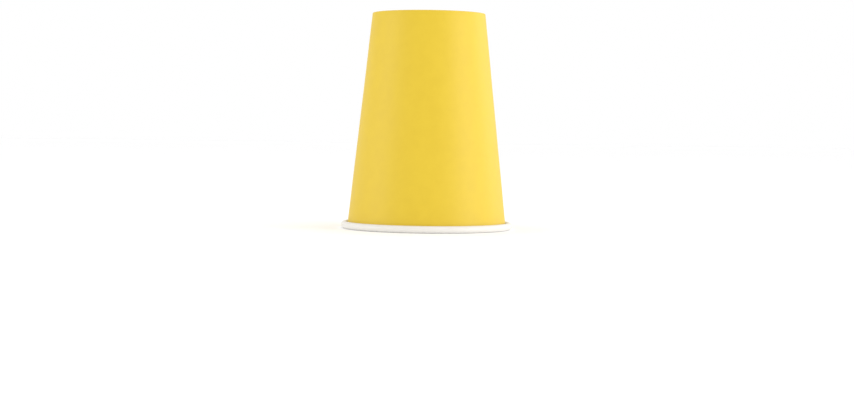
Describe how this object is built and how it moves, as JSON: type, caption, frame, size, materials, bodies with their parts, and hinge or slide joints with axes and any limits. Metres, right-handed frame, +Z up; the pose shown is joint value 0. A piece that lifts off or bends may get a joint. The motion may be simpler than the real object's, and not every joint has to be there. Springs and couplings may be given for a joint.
{
  "type": "paper cup",
  "caption": "Tapered single-wall paper cup with a rolled rim, a lapped side seam and a recessed bottom disc, standing upside down on its rim; holds a cold drink.",
  "frame": {"origin": "centre of the plane that the rim rests on, on the cup's axis", "axes": "+Z up the cup's axis from the rim to the foot, because the cup stands upside down; -Y towards the viewer, with the side seam at the back"},
  "size_m": [0.077, 0.077, 0.0965],
  "materials": {
    "printed_board": "satin yellow print on the outside, white board inside and on the rolled rim",
    "plain_board": "coated white board"
  },
  "bodies": {
    "root": {"side_wall": "printed_board", "bottom_disc": "plain_board"}
  },
  "joints": []
}
